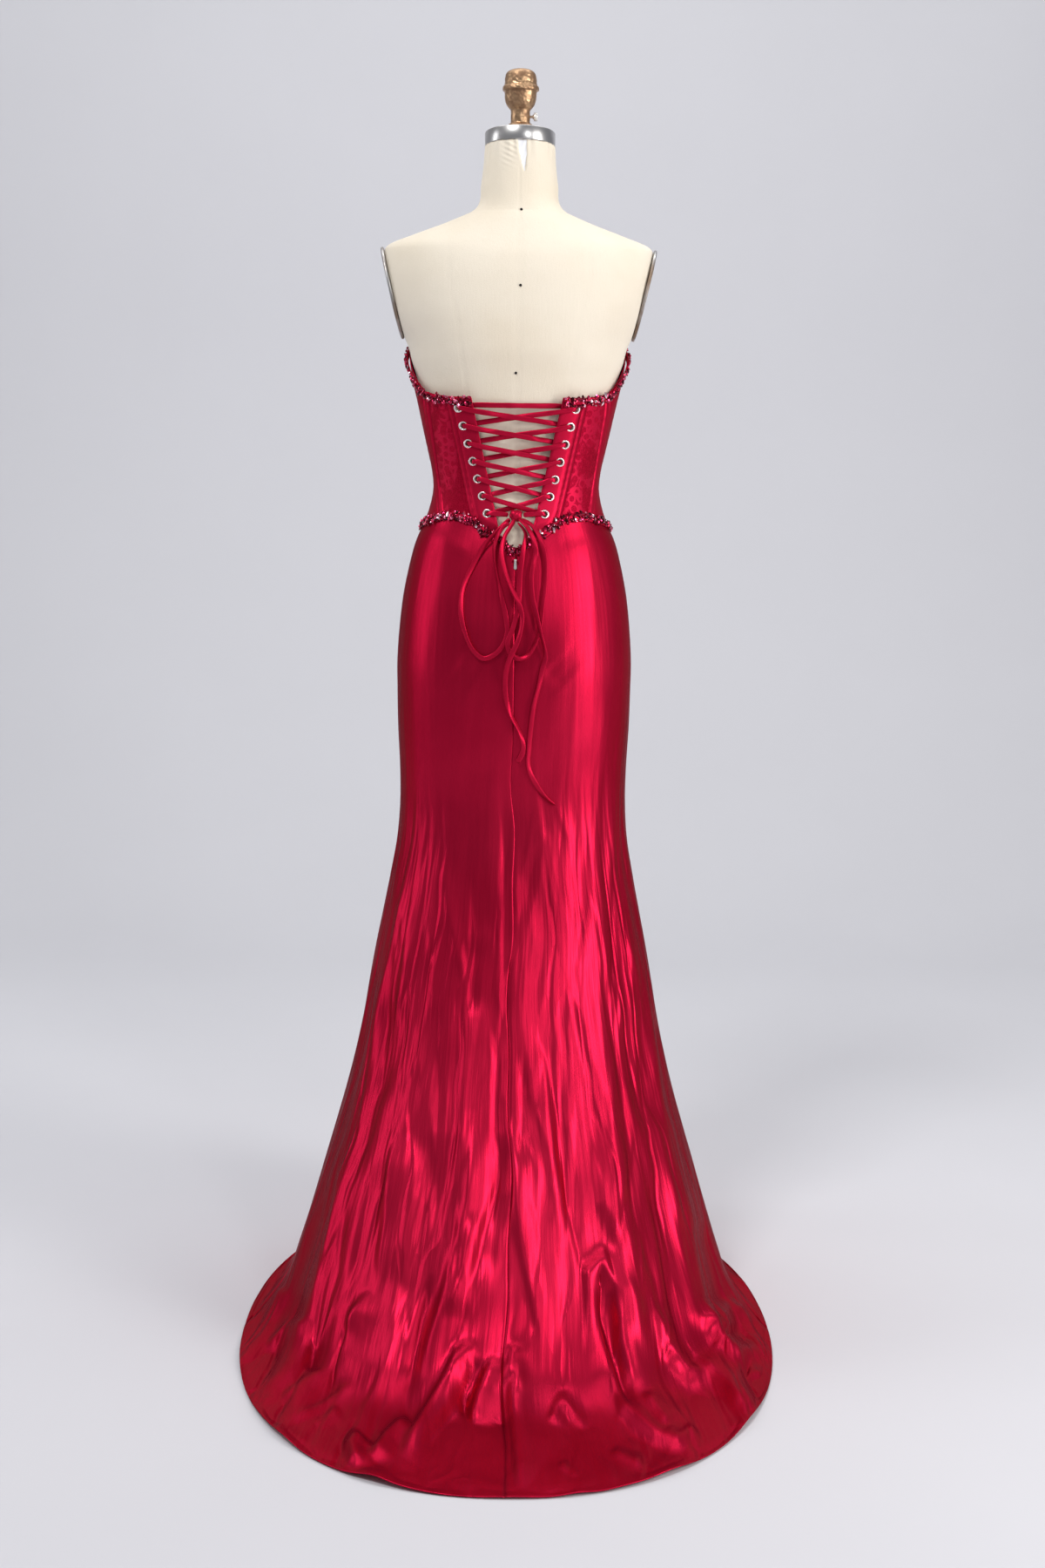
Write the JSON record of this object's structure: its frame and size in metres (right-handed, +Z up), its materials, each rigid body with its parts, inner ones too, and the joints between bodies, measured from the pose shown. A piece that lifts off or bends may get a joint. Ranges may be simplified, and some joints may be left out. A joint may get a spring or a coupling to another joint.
{
  "type": "mermaid prom dress on dress form",
  "caption": "Strapless mermaid gown with a laced, boned corset back, beaded trims and a swept train, standing on a limbless dress form.",
  "frame": {"origin": "centre of the stand's underside, on the floor, under the pole", "axes": "+Z up along the pole, +Y towards the laced back and the train, +X towards the wearer's left"},
  "size_m": [0.7281, 0.9966, 1.724],
  "materials": {
    "satin": "heavy crimson satin with a soft broad gloss",
    "lace": "floral lace over a dark crimson lining",
    "beads": "faceted crystals in dark red and rose, set close",
    "canvas": "cream cotton cover, stretched smooth",
    "steel": "worn nickel and grey metal",
    "brass": "aged hammered brass",
    "stand": "black paint"
  },
  "bodies": {
    "dress_and_form": {"skirt_back_left": "satin", "skirt_back_right": "satin", "skirt_front": "satin", "front_centre_panel": "satin", "lacing_panel_left": "satin", "lacing_panel_right": "satin", "inner_boning_left": "satin", "inner_boning_right": "satin", "outer_boning_left": "satin", "outer_boning_right": "satin", "side_panel_left": "satin", "side_panel_right": "satin", "front_side_panel_left": "satin", "front_side_panel_right": "satin", "lacing_left": "satin", "lacing_right": "satin", "bow_knot": "satin", "bow_loop_left": "satin", "bow_loop_right": "satin", "bow_tail_left": "satin", "bow_tail_right": "satin", "lace_panel_left": "lace", "lace_panel_right": "lace", "neckline_trim": "beads", "waist_trim": "beads", "form_torso": "canvas", "form_neck_ring": "steel", "form_arm_plate_left": "steel", "form_arm_plate_right": "steel", "eyelet_left_1": "steel", "eyelet_left_2": "steel", "eyelet_left_3": "steel", "eyelet_left_4": "steel", "eyelet_left_5": "steel", "eyelet_left_6": "steel", "eyelet_left_7": "steel", "eyelet_right_1": "steel", "eyelet_right_2": "steel", "eyelet_right_3": "steel", "eyelet_right_4": "steel", "eyelet_right_5": "steel", "eyelet_right_6": "steel", "eyelet_right_7": "steel", "zip_slider": "steel", "form_finial": "brass", "stand_pole": "stand", "stand_base": "stand"},
    "zip_pull": {"zip_pull": "steel"},
    "clamp_screw": {"clamp_screw": "steel"}
  },
  "joints": [
    {"name": "zip_pull_swing", "type": "hinge", "parent": "dress_and_form", "child": "zip_pull", "pos_m": [0, 0.11301, 1.05962], "axis": [1, 0, 0], "range_deg": [0, 120]},
    {"name": "clamp_screw_turn", "type": "hinge", "parent": "dress_and_form", "child": "clamp_screw", "pos_m": [-0.0132, 0, 1.6603], "axis": [-1, 0, 0], "continuous": true}
  ]
}
